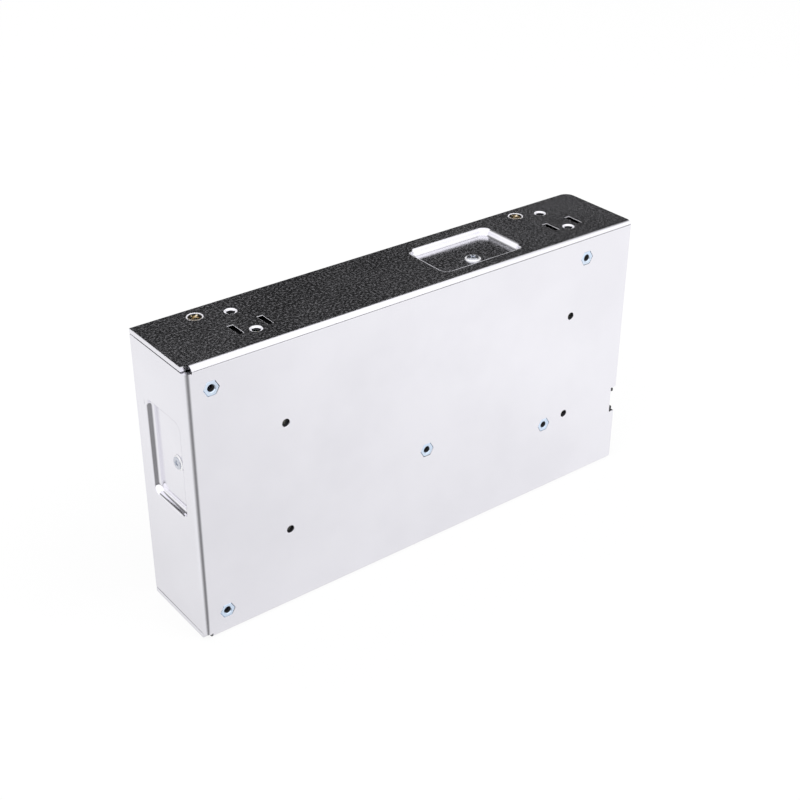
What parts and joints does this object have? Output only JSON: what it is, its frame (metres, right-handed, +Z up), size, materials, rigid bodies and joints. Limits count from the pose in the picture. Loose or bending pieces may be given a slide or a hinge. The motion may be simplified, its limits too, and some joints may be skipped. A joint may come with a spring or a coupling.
{
  "type": "switching power supply",
  "caption": "Enclosed switching power supply in a folded aluminium case with a perforated cover, cooling fan and guarded screw terminals.",
  "frame": {"origin": "middle of the case's foot, on the floor under the long wall that it stands on", "axes": "+X along the case from the closed end to the terminals, +Y through its depth from the base plate to the perforated cover, +Z up"},
  "size_m": [0.225, 0.041, 0.124],
  "materials": {
    "case_aluminium": "matt, as rolled",
    "cover_steel": "satin, zinc coated",
    "zinc_steel": "bright zinc with a bluish cast",
    "clear_film": "thin translucent polyester",
    "board_green": "solder mask",
    "black_plastic": "moulded",
    "nickel_plate": "nickel plated",
    "clear_plastic": "clear",
    "blue_plastic": "moulded",
    "white_plastic": "moulded",
    "green_lens": "tinted lens",
    "red_plastic": "moulded",
    "copper": "enamelled copper",
    "lead_red": "insulated twin lead",
    "device_black": "moulded package",
    "pad_grey": "soft thermal pad",
    "ferrite": "sintered, matt",
    "yellow_tape": "polyester tape",
    "sleeve_black": "shrink sleeve",
    "yellow_box": "moulded box",
    "heatsink_aluminium": "extruded, plain",
    "dark_green_coating": "dipped coating",
    "fuse_glass": "clear",
    "resistor_grey": "coated"
  },
  "bodies": {
    "case": {"chassis": "case_aluminium", "mesh_cover": "cover_steel", "clinch_standoffs": "zinc_steel", "cover_screws": "zinc_steel", "insulating_film": "clear_film", "circuit_board": "board_green", "board_screws": "zinc_steel", "terminal_block": "black_plastic", "terminal_plates": "nickel_plate", "terminal_screws": "nickel_plate", "voltage_trimmer": "blue_plastic", "lamp_spacer": "black_plastic", "status_lamp": "green_lens", "selector_switch": "black_plastic", "fan_housing": "black_plastic", "fan_stator": "copper", "fan_screws": "zinc_steel", "fan_lead": "lead_red", "fan_plug": "white_plastic", "fan_header": "white_plastic", "power_transistors": "device_black", "output_rectifiers": "device_black", "thermal_pads": "pad_grey", "clamp_bars": "zinc_steel", "clamp_washers": "zinc_steel", "clamp_screws": "zinc_steel", "transformer_core": "ferrite", "transformer_bobbin": "black_plastic", "transformer_winding": "yellow_tape", "output_choke_core": "ferrite", "output_choke_winding": "copper", "filter_core": "ferrite", "filter_windings": "copper", "filter_base": "black_plastic", "bulk_capacitors": "sleeve_black", "output_capacitors": "sleeve_black", "small_capacitors": "sleeve_black", "film_capacitors": "yellow_box", "disc_capacitors": "blue_plastic", "bridge_heatsink": "heatsink_aluminium", "bridge_rectifier": "device_black", "inrush_thermistor": "dark_green_coating", "fuse_tube": "fuse_glass", "fuse_caps": "nickel_plate", "fuse_clips": "nickel_plate", "standby_transformer": "yellow_tape", "control_board": "board_green", "control_chips": "device_black", "power_resistors": "resistor_grey", "output_busbars": "copper"},
    "fan": {"fan_rotor": "black_plastic", "fan_spindle": "zinc_steel"},
    "guard": {"terminal_guard": "clear_plastic"},
    "trimmer": {"trimmer_rotor": "white_plastic"},
    "selector": {"selector_slider": "red_plastic"}
  },
  "joints": [
    {"name": "fan_spin", "type": "hinge", "parent": "case", "child": "fan", "pos_m": [-0.05643, 0, 0.036], "axis": [0, 1, 0], "continuous": true},
    {"name": "guard_hinge", "type": "hinge", "parent": "case", "child": "guard", "pos_m": [0.0941, 0.0135, 0.04905], "axis": [0, 0, 1], "range_deg": [0, 105]},
    {"name": "trimmer_turn", "type": "hinge", "parent": "case", "child": "trimmer", "pos_m": [0.1045, 0, 0.10526], "axis": [0, 1, 0], "range_deg": [-130, 130]},
    {"name": "selector_slide", "type": "slide", "parent": "case", "child": "selector", "axis": [1, 0, 0], "range_m": [0, 0.005]}
  ]
}
